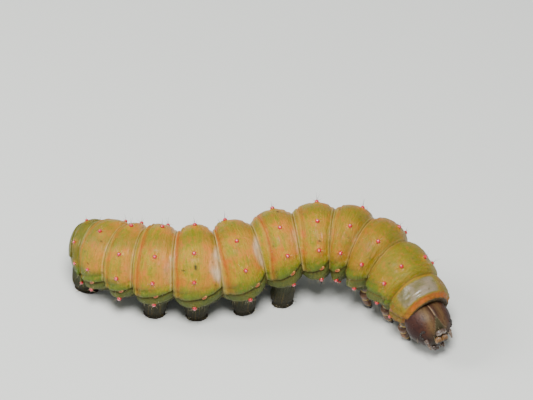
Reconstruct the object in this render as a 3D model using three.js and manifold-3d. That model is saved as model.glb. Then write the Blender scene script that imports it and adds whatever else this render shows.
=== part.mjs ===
// A life-size giant silkworm at rest: a plump, strongly ringed body about 68 mm long,
// bent to its right at the front, standing on ten prolegs and six thoracic legs.
// Millimetres, +Z up. The head points to +X and -Y, and the floor is the plane Z = 0.

import * as THREE from "three";
import { mergeVertices } from "three/addons/utils/BufferGeometryUtils.js";
import Module from "manifold-3d";

const wasm = await Module();
wasm.setup();

// Driving dimensions
const GAP = 0.3; // between neighbouring pieces
const BELLY = 0.84; // depth of the underside, as a share of the half-width
const CREASE_DEPTH = 0.2; // the ring line behind each segment's main bulge
const CREASE_AT = 0.15; // its place along a segment, from the tail end
const SCOLUS_RADIUS = 0.42; // a wart on the skin
const SCOLUS_HEIGHT = 0.75;
const HEAD_HALF_WIDTH = 3.6;
const HEAD_HALF_LENGTH = 3.6; // from the crown to the mouth
const HEAD_HALF_DEPTH = 2.85; // from the face to the nape
const MIDDLE = { x: 0.03, y: -4.728 }; // of the whole, in the coordinates that SPINE is written in

// The body's axis, at the tail's end and at each fold between two segments, ending at the collar
const SPINE = [
  [-28.25, 3.2, 4.7],
  [-26.35, 2.65, 5.3],
  [-24.5, 1.8, 6.0],
  [-21.0, -0.35, 6.65],
  [-17.65, -1.6, 7.0],
  [-12.5, -2.6, 7.2],
  [-6.3, -2.5, 7.3],
  [-0.2, -0.7, 7.8],
  [5.8, 0.7, 8.6],
  [11.2, 0.9, 9.0],
  [15.45, -0.5, 8.8],
  [19.4, -3.4, 8.1],
  [22.7, -7.4, 7.2],
  [25.05, -11.35, 6.2],
].map(([x, y, z]) => new THREE.Vector3(x, y, z));
const spine = new THREE.CatmullRomCurve3(SPINE, false, "catmullrom", 0.5);

// Half-width at the bulge, the fold in front as a share of it, the turn of the back to the right in
// degrees, and where along the segment its warts stand. The rows run from the tail to the head.
const SEGMENTS = [
  { name: "abdomen_10", half: 4.1, notch: 0.92, twist: 6, wartsAt: 0.5 },
  { name: "abdomen_9", half: 4.95, notch: 0.91, twist: 8, wartsAt: 0.6 },
  { name: "abdomen_8", half: 5.7, notch: 0.88, twist: 12, wartsAt: 0.57 },
  { name: "abdomen_7", half: 5.95, notch: 0.86, twist: 13, wartsAt: 0.55 },
  { name: "abdomen_6", half: 6.3, notch: 0.81, twist: 10, wartsAt: 0.6 },
  { name: "abdomen_5", half: 6.5, notch: 0.79, twist: 2, wartsAt: 0.47 },
  { name: "abdomen_4", half: 6.45, notch: 0.76, twist: -9, wartsAt: 0.45 },
  { name: "abdomen_3", half: 6.15, notch: 0.79, twist: -12, wartsAt: 0.62 },
  { name: "abdomen_2", half: 6.1, notch: 0.81, twist: -11, wartsAt: 0.6 },
  { name: "abdomen_1", half: 6.1, notch: 0.79, twist: -9, wartsAt: 0.65 },
  { name: "metathorax", half: 6.05, notch: 0.79, twist: -10, wartsAt: 0.7 },
  { name: "mesothorax", half: 5.35, notch: 0.78, twist: -13, wartsAt: 0.75 },
  { name: "prothorax", half: 4.5, notch: 0.92, twist: -4, wartsAt: 0.5 },
];
const TAIL = 0;
const indexOf = (name) => SEGMENTS.findIndex((s) => s.name === name);

// Colours of the larva that is about to spin
const finish = (color, roughness) => new THREE.MeshStandardMaterial({ color, roughness, metalness: 0 });
const SKIN = finish(0xc08f3a, 0.42);
const GREEN_SKIN = finish(0x8f9a3c, 0.45);
const HEAD_SHELL = finish(0x5a3a24, 0.35);
const DARK_SHELL = finish(0x24170f, 0.4);
const PALE_SHELL = finish(0xb79a6a, 0.45);

// A closed geometry as a solid, and a solid as a named mesh of its largest closed surface
function solidOf(geometry) {
  const bare = geometry.clone();
  bare.deleteAttribute("normal");
  bare.deleteAttribute("uv");
  const merged = mergeVertices(bare, 1e-4);
  const triVerts = new Uint32Array(merged.index.array);
  const vertProperties = merged.attributes.position.array;
  return new wasm.Manifold(new wasm.Mesh({ numProp: 3, vertProperties, triVerts }));
}

function meshOf(name, solid, material) {
  const largest = solid.decompose().sort((a, b) => b.volume() - a.volume())[0];
  const { vertProperties, triVerts } = largest.getMesh();
  const geometry = new THREE.BufferGeometry();
  geometry.setAttribute("position", new THREE.BufferAttribute(vertProperties, 3));
  geometry.setIndex(new THREE.BufferAttribute(triVerts, 1));
  const mesh = new THREE.Mesh(geometry, material);
  mesh.name = name;
  return mesh;
}

// Moves every vertex of a simple form to where place(vertex) says
function shaped(geometry, place) {
  const at = geometry.attributes.position;
  const v = new THREE.Vector3();
  for (let i = 0; i < at.count; i++) {
    v.fromBufferAttribute(at, i);
    v.copy(place(v));
    at.setXYZ(i, v.x, v.y, v.z);
  }
  return solidOf(geometry);
}

const { degToRad, lerp, clamp } = THREE.MathUtils;
const bell = (x, centre, width) => Math.exp(-(((x - centre) / width) ** 2));
const UP = new THREE.Vector3(0, 0, 1);

// The body's frame at a station, where whole numbers are the folds: ahead, to its right, and to its back
function frameAt(station) {
  const t = clamp(station / SEGMENTS.length, 0, 1);
  const ahead = spine.getTangent(t);
  const right = new THREE.Vector3().crossVectors(ahead, UP).normalize();
  const back = new THREE.Vector3().crossVectors(right, ahead).normalize();
  return { centre: spine.getPoint(t), ahead, right, back };
}

const foldHalf = (i) => {
  if (i === 0) return 0;
  const behind = SEGMENTS[i - 1];
  const before = SEGMENTS[i] ?? behind;
  return (behind.notch * (behind.half + before.half)) / 2;
};

// Half-width of the body at a station: bulges between folds, and a dome at the tail
function halfWidth(station) {
  const i = clamp(Math.floor(station), 0, SEGMENTS.length - 1);
  const u = station - i;
  if (i === TAIL) return foldHalf(1) * Math.sqrt(Math.max(0, 1 - Math.pow(1 - u, 1.6)));
  const fold = lerp(foldHalf(i), foldHalf(i + 1), u);
  const hump = 1 - Math.pow(Math.abs(2 * u - 1), 2.4);
  const bulge = SEGMENTS[i].half - (foldHalf(i) + foldHalf(i + 1)) / 2;
  return fold + bulge * hump - CREASE_DEPTH * bell(u, CREASE_AT, 0.05);
}

// Twist of the back at a station, in radians, eased from one segment's middle to the next
function twistAt(station) {
  const s = clamp(station - 0.5, 0, SEGMENTS.length - 1.001);
  const i = Math.floor(s);
  return degToRad(lerp(SEGMENTS[i].twist, SEGMENTS[i + 1].twist, s - i));
}

// A point of the skin. Angle 0 is the middle of the back, positive to the right, and grow lifts it off the skin.
function skinPoint(station, angle, share = 1, grow = 0) {
  const { centre, right, back } = frameAt(station);
  const side = Math.abs(THREE.MathUtils.radToDeg(angle));
  const ridge = 0.35 * bell(side, 97, 7) - 0.3 * bell(side, 107, 5) + 0.25 * bell(side, 121, 9);
  const tailFade = clamp(station, 0, 1);
  const half = halfWidth(station) + ridge * tailFade;
  const across = Math.sin(angle) * half;
  const up = Math.cos(angle) * half * (side > 90 ? BELLY : 1);
  const reach = share * (1 + grow / Math.max(half, 1));
  return centre.clone().addScaledVector(right, across * reach).addScaledVector(back, up * reach);
}

// The place on the back for an angle counted from the twisted midline, which fades out to the belly
function twisted(station, angle) {
  return angle + (twistAt(station) * (1 + Math.cos(angle))) / 2;
}

// Rings of a segment, closer together at its folds and its crease, and toward the tail's end
const RING_PLACES = [0, 0.07, CREASE_AT, 0.25, 0.42, 0.6, 0.78, 0.92, 1];
const TAIL_PLACES = [0, 0.02, 0.07, 0.16, 0.3, 0.48, 0.68, 0.87, 1];
const AROUND = 26;

function ringForm(first, last, grow, ends) {
  const rings = (RING_PLACES.length - 1) * (last - first + 1);
  const form = new THREE.CylinderGeometry(1, 1, 1, AROUND, rings);
  return shaped(form, (v) => {
    const ring = Math.round((v.y + 0.5) * rings);
    const i = Math.min(first + Math.floor(ring / (RING_PLACES.length - 1)), last);
    const places = i === TAIL ? TAIL_PLACES : RING_PLACES;
    const u = places[ring - (i - first) * (places.length - 1)];
    const length = SPINE[i].distanceTo(SPINE[i + 1]);
    const station = clamp(i + u, first === TAIL ? 0.004 : first + ends / length, last + 1 - ends / length);
    const even = Math.atan2(v.x, v.z);
    const angle = even + 0.22 * Math.sin(2 * even);
    return skinPoint(station, angle, Math.hypot(v.x, v.z), grow);
  });
}

// The tail's first ring is small, so that its end closes in a low dome
const segmentForm = (i) => ringForm(i, i, 0, GAP / 2);
const bodyForm = (first, last) => ringForm(Math.max(first, 0), Math.min(last, SEGMENTS.length - 1), GAP, 0.02);

// A wart: a low five-sided knob with a narrower tip, sunk into the skin and standing square to it
function scolus(station, angle, size = 1) {
  const foot = skinPoint(station, angle, 1);
  const { centre } = frameAt(station);
  const out = foot.clone().sub(centre).normalize();
  const turn = new THREE.Quaternion().setFromUnitVectors(new THREE.Vector3(0, 1, 0), out);
  const sunk = 0.6;
  const height = SCOLUS_HEIGHT * size;
  const form = new THREE.CylinderGeometry(1, 1, 1, 5, 2);
  const levels = [-sunk, height * 0.45, height];
  const radii = [SCOLUS_RADIUS * 1.15 * size, SCOLUS_RADIUS * 0.95 * size, SCOLUS_RADIUS * 0.42 * size];
  return shaped(form, (v) => {
    const level = Math.round((v.y + 0.5) * 2);
    return new THREE.Vector3(v.x * radii[level], levels[level], v.z * radii[level]).applyQuaternion(turn).add(foot);
  });
}

// Rows of warts by their angle from the middle of the back, in degrees, and where along the segment
const DORSAL = 27;
const UPPER_SIDE = 66;
const LOWER_SIDE = 112;
const UNDERSIDE = 136;
function wartsOf(i) {
  const { name } = SEGMENTS[i];
  if (name === "abdomen_10") return [];
  if (name === "abdomen_9") return [[DORSAL, 0.7], [UPPER_SIDE, 0.7], [LOWER_SIDE, 0.8]];
  if (name === "abdomen_8") return [[0, 0.95], [UPPER_SIDE, 0.85], [LOWER_SIDE, 0.9]];
  if (name === "prothorax") return [[LOWER_SIDE, 0.8]];
  const rows = [[DORSAL, 1], [UPPER_SIDE, 1], [LOWER_SIDE, 1]];
  if (name === "abdomen_1" || name === "abdomen_2") rows.push([UNDERSIDE, 0.8]);
  return rows;
}

const model = new THREE.Group();

// The thirteen body segments, each with its warts joined to it
const segmentSolids = SEGMENTS.map((segment, i) => {
  let solid = segmentForm(i);
  for (const [degrees, size] of wartsOf(i)) {
    for (const side of degrees === 0 ? [1] : [1, -1]) {
      const station = i + segment.wartsAt;
      solid = solid.add(scolus(station, twisted(station, side * degToRad(degrees)), size));
    }
  }
  return solid;
});

// A leg cut in level slices from inside the body down to a flat foot on the floor
function legForm(sides, levels, pathPoint, sectionAt) {
  const form = new THREE.CylinderGeometry(1, 1, 1, sides, levels);
  return shaped(form, (v) => {
    const down = 0.5 - v.y;
    const { long, wide, heading } = sectionAt(down);
    const at = pathPoint(down);
    const along = v.x * long;
    const across = v.z * wide;
    at.x += Math.cos(heading) * along + Math.sin(heading) * across;
    at.y += Math.sin(heading) * along - Math.cos(heading) * across;
    return at;
  });
}

const headingAt = (station) => {
  const { ahead } = frameAt(station);
  return Math.atan2(ahead.y, ahead.x);
};
const eased = (values, x) => {
  const s = clamp(x, 0, 1) * (values.length - 1);
  const i = Math.min(Math.floor(s), values.length - 2);
  return lerp(values[i], values[i + 1], s - i);
};

// Prolegs: soft stumps that narrow to an ankle and flare again at the gripping sole
function proleg(station, side, { spread, long, wide, lean = 0 }) {
  const { centre, right } = frameAt(station);
  const flat = new THREE.Vector3(right.x, right.y, 0).normalize().multiplyScalar(side);
  const top = centre.clone().addScaledVector(flat, spread * 0.75);
  top.z -= halfWidth(station) * 0.35;
  const foot = new THREE.Vector3(centre.x, centre.y, 0).addScaledVector(flat, spread);
  foot.addScaledVector(new THREE.Vector3(Math.cos(headingAt(station)), Math.sin(headingAt(station)), 0), lean);
  const swell = [1.15, 1.12, 1.08, 1, 0.86, 0.78, 0.94, 0.8];
  const drops = [0, 0.35, 0.55, 0.7, 0.8, 0.88, 0.95, 1];
  return legForm(
    11,
    swell.length - 1,
    (down) => top.clone().lerp(foot, eased(drops, down)),
    (down) => ({ long: long * eased(swell, down), wide: wide * eased(swell, down), heading: headingAt(station) }),
  );
}

// Thoracic legs: jointed, hooked, and set close under the chest
function thoracicLeg(station, side) {
  const { centre, right } = frameAt(station);
  const flat = new THREE.Vector3(right.x, right.y, 0).normalize().multiplyScalar(side);
  const heading = headingAt(station);
  const forward = new THREE.Vector3(Math.cos(heading), Math.sin(heading), 0);
  const top = centre.clone().addScaledVector(flat, 1.7);
  top.z -= halfWidth(station) * 0.55;
  const outs = [0, 0.25, 0.6, 0.95, 1.05, 0.9, 0.6, 0.25];
  const leads = [0, 0.05, 0.1, 0.2, 0.35, 0.55, 0.7, 0.75];
  const girths = [1.0, 1.0, 0.82, 0.9, 0.62, 0.68, 0.46, 0.27];
  return legForm(
    8,
    girths.length - 1,
    (down) => {
      const at = top.clone().addScaledVector(flat, eased(outs, down)).addScaledVector(forward, eased(leads, down));
      at.z = top.z * (1 - down);
      return at;
    },
    (down) => ({ long: eased(girths, down), wide: eased(girths, down), heading }),
  );
}

const PROLEG_SEGMENTS = ["abdomen_3", "abdomen_4", "abdomen_5", "abdomen_6"];
const LEG_SEGMENTS = ["prothorax", "mesothorax", "metathorax"];
const SIDES = [["right", 1], ["left", -1]];

for (const name of PROLEG_SEGMENTS) {
  const i = indexOf(name);
  const body = bodyForm(i - 1, i + 1);
  for (const [sideName, side] of SIDES) {
    const form = proleg(i + 0.5, side, { spread: 3.1, long: 1.75, wide: 1.35 });
    model.add(meshOf(`proleg_${name.slice(-1)}_${sideName}`, form.subtract(body), GREEN_SKIN));
  }
}

LEG_SEGMENTS.forEach((name, order) => {
  const i = indexOf(name);
  const body = bodyForm(i - 1, i + 1);
  for (const [sideName, side] of SIDES) {
    const form = thoracicLeg(i + 0.5, side);
    model.add(meshOf(`leg_${order + 1}_${sideName}`, form.subtract(body), DARK_SHELL));
  }
});

// Claspers: the broad pair of prolegs under the tail
const tailBody = bodyForm(TAIL, TAIL + 2);
for (const [sideName, side] of SIDES) {
  const form = proleg(0.95, side, { spread: 2.2, long: 1.9, wide: 1.2, lean: 0.9 });
  model.add(meshOf(`clasper_${sideName}`, form.subtract(tailBody), GREEN_SKIN));
}

// The plate over the tail: a slice of a shell that lies on the last segment
function tailPlate() {
  const shell = shaped(new THREE.CylinderGeometry(1, 1, 1, 16, 5), (v) => {
    const angle = Math.atan2(v.x, v.z);
    const station = lerp(0.02, 0.9, v.y + 0.5);
    return skinPoint(station, angle, Math.hypot(v.x, v.z), 0.8);
  });
  const { centre, ahead, back } = frameAt(0.55);
  const keep = shaped(new THREE.SphereGeometry(1, 16, 8), (v) => {
    const right = new THREE.Vector3().crossVectors(ahead, back);
    return centre
      .clone()
      .addScaledVector(back, 4.1 + 3.3 * v.z)
      .addScaledVector(right, 3.3 * v.x)
      .addScaledVector(ahead, -0.6 + 2.5 * v.y);
  });
  return shell.intersect(keep).subtract(tailBody);
}

// The head's own frame: across to its right, from crown to mouth, and out of its face
const HEAD_CENTRE = new THREE.Vector3(25.35, -12.6, 5.15);
const HEAD_HEADING = degToRad(-57);
const HEAD_DIP = degToRad(38);
const HEAD_ROLL = degToRad(-3);
const toMouth = new THREE.Vector3(
  Math.cos(HEAD_DIP) * Math.cos(HEAD_HEADING),
  Math.cos(HEAD_DIP) * Math.sin(HEAD_HEADING),
  -Math.sin(HEAD_DIP),
);
const levelRight = new THREE.Vector3().crossVectors(toMouth, UP).normalize();
const outOfFace = new THREE.Vector3().crossVectors(levelRight, toMouth).applyAxisAngle(toMouth, HEAD_ROLL);
const toRight = new THREE.Vector3().crossVectors(toMouth, outOfFace).normalize();
const headPoint = (right, mouth, face) =>
  HEAD_CENTRE.clone().addScaledVector(toRight, right).addScaledVector(toMouth, mouth).addScaledVector(outOfFace, face);

// The capsule: two swollen lobes that meet in a seam from the crown, flattened into a shield over the mouth
function capsulePoint(v, grow = 0) {
  const lobe = 1 + 0.07 * bell(Math.abs(v.x), 0.5, 0.3) * Math.max(0, -v.y);
  const narrowing = 1 - 0.14 * Math.max(0, v.y) ** 2;
  const seam = v.z > 0 && v.y < 0.35 ? 0.2 * bell(v.x, 0, 0.06) : 0;
  const crown = v.y < 0 ? 0.35 * bell(v.x, 0, 0.16) * v.y * v.y : 0;
  const faceFlat = v.z > 0 ? 1 - 0.12 * Math.max(0, v.y) : 1;
  const wide = HEAD_HALF_WIDTH * lobe * narrowing + grow;
  const long = HEAD_HALF_LENGTH * lobe + grow;
  const deep = HEAD_HALF_DEPTH * faceFlat + grow;
  return headPoint(v.x * wide, v.y * long + crown, v.z * deep - seam * v.z);
}

// Poles at the crown and the mouth, so that one line of vertices is the seam
const capsule = (grow) => shaped(new THREE.SphereGeometry(1, 24, 14), (v) => capsulePoint(v, grow));
const grownHead = capsule(GAP);
let head = capsule(0);

// Six small eyes in an arc low on each cheek
for (const side of [1, -1]) {
  for (let i = 0; i < 6; i++) {
    const bend = degToRad(-70 + 40 * i);
    const x = side * (0.72 + 0.09 * Math.cos(bend));
    const y = 0.42 - 0.12 * Math.sin(bend);
    const z = Math.sqrt(Math.max(0.05, 1 - x * x - y * y));
    const seat = capsulePoint(new THREE.Vector3(x, y, z).normalize());
    const eye = shaped(new THREE.IcosahedronGeometry(0.24, 0), (v) => v.clone().add(seat));
    head = head.add(eye);
  }
}

// Mouthparts, each a rounded block placed in the head's frame and cut clear of the capsule
function mouthBlock(centre, size, square = 0.75) {
  return shaped(new THREE.SphereGeometry(1, 10, 7), (v) => {
    const soft = (c) => Math.sign(c) * Math.pow(Math.abs(c), square);
    return headPoint(
      centre[0] + soft(v.x) * size[0],
      centre[1] + soft(v.y) * size[1],
      centre[2] + soft(v.z) * size[2],
    );
  });
}

const FEELER_REACH = { right: 1.75, left: 1.3 };
const labrumBlock = mouthBlock([0, 2.2, 2.35], [0.9, 0.5, 0.55]);
const labrumNotch = mouthBlock([0, 2.85, 2.35], [0.2, 0.35, 0.9], 1);
const labrum = labrumBlock.subtract(labrumNotch).subtract(grownHead);
model.add(meshOf("labrum", labrum, PALE_SHELL));
const labiumBlock = mouthBlock([0, 3.35, -0.75], [1.0, 0.65, 0.6]);
const spinneret = mouthBlock([0, 3.95, -0.8], [0.3, 0.35, 0.3]);
model.add(meshOf("labium", labiumBlock.add(spinneret).subtract(grownHead), PALE_SHELL));
for (const [sideName, side] of SIDES) {
  const jaw = mouthBlock([side * 0.67, 3.2, 1.35], [0.52, 0.55, 0.5]);
  model.add(meshOf(`mandible_${sideName}`, jaw.subtract(grownHead), DARK_SHELL));
  const reach = FEELER_REACH[sideName];
  const rings = [0.34, 0.34, 0.27, 0.28, 0.22, 0.22, 0.25];
  const feeler = shaped(new THREE.CylinderGeometry(1, 1, 1, 6, rings.length - 1), (v) => {
    const out = v.y + 0.5;
    const girth = eased(rings, out);
    return headPoint(side * (2.15 - 0.1 * out) + v.x * girth, 2.3 + reach * out, 0.85 + v.z * girth);
  });
  model.add(meshOf(`antenna_${sideName}`, feeler.subtract(grownHead), PALE_SHELL));
}

model.add(meshOf("head", head, HEAD_SHELL));
model.add(meshOf("tail_plate", tailPlate(), GREEN_SKIN));

// The collar is hollowed to take the back of the head
SEGMENTS.forEach((segment, i) => {
  const solid = segment.name === "prothorax" ? segmentSolids[i].subtract(grownHead) : segmentSolids[i];
  model.add(meshOf(segment.name, solid, SKIN));
});

// The origin is on the floor, under the middle of the whole
for (const mesh of model.children) mesh.geometry.translate(-MIDDLE.x, -MIDDLE.y, 0);

export default model;
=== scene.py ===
import math
import random

import bmesh
import bpy
import numpy as np
from mathutils import Matrix, Vector


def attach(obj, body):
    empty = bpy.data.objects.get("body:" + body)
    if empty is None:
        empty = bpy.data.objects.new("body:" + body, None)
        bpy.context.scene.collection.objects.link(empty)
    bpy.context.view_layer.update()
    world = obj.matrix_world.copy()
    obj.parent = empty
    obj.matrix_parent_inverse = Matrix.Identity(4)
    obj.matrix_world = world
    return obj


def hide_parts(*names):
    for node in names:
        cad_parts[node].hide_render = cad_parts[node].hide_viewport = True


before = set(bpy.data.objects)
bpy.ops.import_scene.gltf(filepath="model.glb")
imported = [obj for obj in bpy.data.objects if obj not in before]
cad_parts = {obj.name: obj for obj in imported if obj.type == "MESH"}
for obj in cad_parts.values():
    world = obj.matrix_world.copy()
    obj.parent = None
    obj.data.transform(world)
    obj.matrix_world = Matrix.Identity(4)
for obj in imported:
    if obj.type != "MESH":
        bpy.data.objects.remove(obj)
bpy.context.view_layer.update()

# The camera: on the animal's right and above, looking down at its flank and its back.
# The picture is taken to be 533 x 400, with 6.6 of its pixels to a millimetre at the animal.
MM = 0.001
PICTURE_WIDTH = 533
PIXELS_PER_MM = 6.6
SENSOR_WIDTH = 36
CAMERA_TILT = math.radians(42)
CAMERA_DISTANCE = 640.0
AIM = Vector((1.104, 17.183, 7.2))
# How much nearer than the aimed-at point the animal lies, along the line of sight
ANIMAL_NEARER = 9.25
scene = bpy.context.scene
camera_data = bpy.data.cameras.new("camera")
camera_data.sensor_width = SENSOR_WIDTH
camera_data.lens = SENSOR_WIDTH * PIXELS_PER_MM * (CAMERA_DISTANCE - ANIMAL_NEARER) / PICTURE_WIDTH
camera_data.clip_start = 0.01
camera_data.clip_end = 5
camera = bpy.data.objects.new("camera", camera_data)
away = Vector((0, -math.cos(CAMERA_TILT), math.sin(CAMERA_TILT)))
camera.location = (AIM + away * CAMERA_DISTANCE) * MM
camera.rotation_euler = (math.radians(90) - CAMERA_TILT, 0, 0)
scene.collection.objects.link(camera)
scene.camera = camera


# The floor: a wide pale sheet under the feet, plain all over.
# It belongs to the stage and not to the animal. Its material is the first written as sums of sockets.
class Wire:
    def __init__(self, tree, socket):
        self.tree = tree
        self.socket = socket

    def node(self, kind, settings=None, inputs=None, output=0):
        made = self.tree.nodes.new(kind)
        for key, value in (settings or {}).items():
            setattr(made, key, value)
        for key, value in (inputs or {}).items():
            if isinstance(value, Wire):
                self.tree.links.new(value.socket, made.inputs[key])
            else:
                made.inputs[key].default_value = value
        return Wire(self.tree, made.outputs[output])

    def maths(self, operation, *values):
        return self.node("ShaderNodeMath", {"operation": operation}, dict(enumerate(values)))

    def __add__(self, other):
        return self.maths("ADD", self, other)

    def __radd__(self, other):
        return self.maths("ADD", other, self)

    def __sub__(self, other):
        return self.maths("SUBTRACT", self, other)

    def __rsub__(self, other):
        return self.maths("SUBTRACT", other, self)

    def __mul__(self, other):
        return self.maths("MULTIPLY", self, other)

    def __rmul__(self, other):
        return self.maths("MULTIPLY", other, self)

    def ramp(self, low, high):
        """0 below low and 1 above high, smooth between them. Falls where low is over high."""
        settings = {"interpolation_type": "SMOOTHSTEP", "clamp": True}
        return self.node("ShaderNodeMapRange", settings, {0: self, 1: low, 2: high})

    def tint(self, first, second):
        """The first tone, with this much of the second over it: each a wire, or a colour in steps of 255."""
        first, second = (tone if isinstance(tone, Wire) else colour(*tone) for tone in (first, second))
        return self.node("ShaderNodeMix", {"data_type": "RGBA"}, {0: self, 6: first, 7: second}, output=2)


def colour(red, green, blue):
    linear = [((c / 255 + 0.055) / 1.055) ** 2.4 if c > 10 else c / 255 / 12.92 for c in (red, green, blue)]
    return (*linear, 1)


def new_material(name, constants):
    made = bpy.data.materials.new(name)
    made.use_nodes = True
    shader = made.node_tree.nodes["Principled BSDF"]
    for key, value in constants.items():
        shader.inputs[key].default_value = value
    start = Wire(made.node_tree, shader.outputs[0])
    where = start.node("ShaderNodeTexCoord", output="Object")
    return made, shader, where


def feed(shader, **wires):
    for key, wire in wires.items():
        wire.tree.links.new(wire.socket, shader.inputs[key.replace("_", " ")])


def noise(where, scale, detail=3, roughness=0.5, distortion=0.0):
    inputs = {"Vector": where, "Scale": scale, "Detail": detail, "Roughness": roughness, "Distortion": distortion}
    return where.node("ShaderNodeTexNoise", None, inputs)


FLOOR_HALF_WIDTH = 1.5
floor_mesh = bmesh.new()
bmesh.ops.create_grid(floor_mesh, x_segments=1, y_segments=1, size=FLOOR_HALF_WIDTH)
floor_material, floor_shader, floor_where = new_material("pale_floor", {"Roughness": 0.7})
paper = noise(floor_where, 9, 4)
feed(floor_shader, Base_Color=paper.tint((214, 216, 210), (224, 225, 220)))
floor_data = bpy.data.meshes.new("floor")
floor_mesh.to_mesh(floor_data)
floor_mesh.free()
floor_data.materials.append(floor_material)
floor = bpy.data.objects.new("floor", floor_data)
scene.collection.objects.link(floor)

# The light: one broad soft lamp above the animal and toward the camera, a weaker one off its tail,
# and a pale surround that fills the shadows.
world = bpy.data.worlds.new("surround")
world.use_nodes = True
world.node_tree.nodes["Background"].inputs["Color"].default_value = (0.92, 0.96, 1, 1)
world.node_tree.nodes["Background"].inputs["Strength"].default_value = 0.36
scene.world = world


def soft_lamp(name, place, size, power):
    data = bpy.data.lights.new(name, "AREA")
    data.shape = "DISK"
    data.size = size
    data.energy = power
    lamp = bpy.data.objects.new(name, data)
    lamp.location = place
    lamp.rotation_euler = (-Vector(place)).to_track_quat("-Z", "Y").to_euler()
    scene.collection.objects.link(lamp)


soft_lamp("main_lamp", (0.0, -0.15, 0.35), 0.14, 2.3)
soft_lamp("side_lamp", (-0.26, 0.05, 0.24), 0.16, 0.7)

# The skin: one soft continuous skin over tail, ten abdominal rings, three chest rings and neck.
# It is a sheet of fine faces rolled round the body's bent axis, swollen between the folds, and it runs
# on unbroken into the prolegs and the claspers, which are drawn out of patches of it.
HOME = (0.03, -4.728, 0)
SPINE = [
    (-28.25, 3.2, 4.7),
    (-26.35, 2.65, 5.3),
    (-24.5, 1.8, 6.0),
    (-21.0, -0.35, 6.65),
    (-17.65, -1.6, 7.0),
    (-12.5, -2.6, 7.2),
    (-6.3, -2.5, 7.3),
    (-0.2, -0.7, 7.8),
    (5.8, 0.7, 8.6),
    (11.2, 0.9, 9.0),
    (15.45, -0.5, 8.8),
    (19.4, -3.4, 8.1),
    (22.7, -7.4, 7.2),
    (25.05, -11.35, 6.2),
]
KNOTS = np.array(SPINE) - np.array(HOME)
SLOPES = np.gradient(KNOTS, axis=0)
# Half-width, the fold in front as a share of it, the turn of the back in degrees, the warts' place,
# and of the ring's main crease its place, its slant down the flank and its strength
SEGMENTS = [
    ("abdomen_10", 4.1, 0.92, 6, 0.5, 0.5, 0.0, 0.0),
    ("abdomen_9", 4.95, 0.91, 8, 0.6, 0.2, 0.0, 0.25),
    ("abdomen_8", 5.7, 0.88, 12, 0.57, 0.12, 0.0, 0.4),
    ("abdomen_7", 5.95, 0.86, 13, 0.55, 0.14, 0.03, 0.6),
    ("abdomen_6", 6.3, 0.81, 10, 0.6, 0.18, 0.02, 1.0),
    ("abdomen_5", 6.5, 0.79, 2, 0.47, 0.07, 0.06, 1.0),
    ("abdomen_4", 6.45, 0.76, -9, 0.45, 0.08, 0.03, 1.0),
    ("abdomen_3", 6.15, 0.79, -12, 0.62, 0.27, -0.09, 1.1),
    ("abdomen_2", 6.1, 0.81, -11, 0.6, 0.19, -0.1, 0.6),
    ("abdomen_1", 6.1, 0.79, -9, 0.65, 0.15, -0.07, 0.4),
    ("metathorax", 6.05, 0.79, -10, 0.7, 0.1, 0.0, 0.12),
    ("mesothorax", 5.35, 0.78, -13, 0.75, 0.08, 0.0, 0.12),
    ("prothorax", 4.5, 0.92, -4, 0.5, 0.5, 0.0, 0.0),
]
COUNT = len(SEGMENTS)
NAMES = [row[0] for row in SEGMENTS]
HALVES = np.array([row[1] for row in SEGMENTS])
TWISTS = np.array([row[3] for row in SEGMENTS], float)
FOLDS = np.array([0] + [SEGMENTS[i][2] * (HALVES[i] + HALVES[min(i + 1, COUNT - 1)]) / 2 for i in range(COUNT)])
BELLY = 0.84
WARTS_AT = [row[4] for row in SEGMENTS]
CREASE_AT = np.array([row[5:] for row in SEGMENTS])


def bell(x, centre, width):
    return np.exp(-(((x - centre) / width) ** 2))


def step(x, low, high):
    t = np.clip((x - low) / (high - low), 0, 1)
    return t * t * (3 - 2 * t)


def ring_at(station):
    """The station kept within the body, the number of its ring, and how far along the ring it lies."""
    s = np.clip(np.asarray(station, float), 0, COUNT)
    i = np.minimum(s.astype(int), COUNT - 1)
    return s, i, s - i


def frame_at(station):
    """The axis at a station: its place, and the ways ahead, to the right and out of the back."""
    s, i, t = ring_at(np.atleast_1d(station))
    t = t[:, None]
    p0, p1, m0, m1 = KNOTS[i], KNOTS[i + 1], SLOPES[i], SLOPES[i + 1]
    centre = (2 * t**3 - 3 * t**2 + 1) * p0 + (t**3 - 2 * t**2 + t) * m0
    centre = centre + (3 * t**2 - 2 * t**3) * p1 + (t**3 - t**2) * m1
    ahead = (6 * t**2 - 6 * t) * (p0 - p1) + (3 * t**2 - 4 * t + 1) * m0 + (3 * t**2 - 2 * t) * m1
    ahead = ahead / np.linalg.norm(ahead, axis=1, keepdims=True)
    right = np.cross(ahead, [0, 0, 1])
    right = right / np.linalg.norm(right, axis=1, keepdims=True)
    return centre, ahead, right, np.cross(right, ahead)


def half_width(station):
    s, i, u = ring_at(station)
    fold = FOLDS[i] * (1 - u) + FOLDS[i + 1] * u
    hump = 1 - np.abs(2 * u - 1) ** 2.4
    body = fold + (HALVES[i] - (FOLDS[i] + FOLDS[i + 1]) / 2) * hump
    dome = FOLDS[1] * np.sqrt(1 - (1 - np.clip(s, 0, 1)) ** 1.6)
    return np.where(s < 1, dome, body)


def twist_at(station, angle):
    s = np.clip(np.asarray(station, float) - 0.5, 0, COUNT - 1.001)
    i = s.astype(int)
    twist = np.radians(TWISTS[i] * (1 - s + i) + TWISTS[i + 1] * (s - i))
    return twist * (1 + np.cos(angle)) / 2


def plate_share(station, side):
    """Where the plate over the tail lies: 1 on it, 0 off it, with a rounded hind tip."""
    reach = 56 - 26 * np.abs(np.asarray(station, float) - 0.45) ** 2
    return step(side, reach + 3, reach - 3) * step(station, 1.02, 0.96)


def groove_place(within):
    """How far down the flank, in degrees, the fold under the breathing holes runs. It climbs toward the front."""
    return 108 - 18 * within


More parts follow.
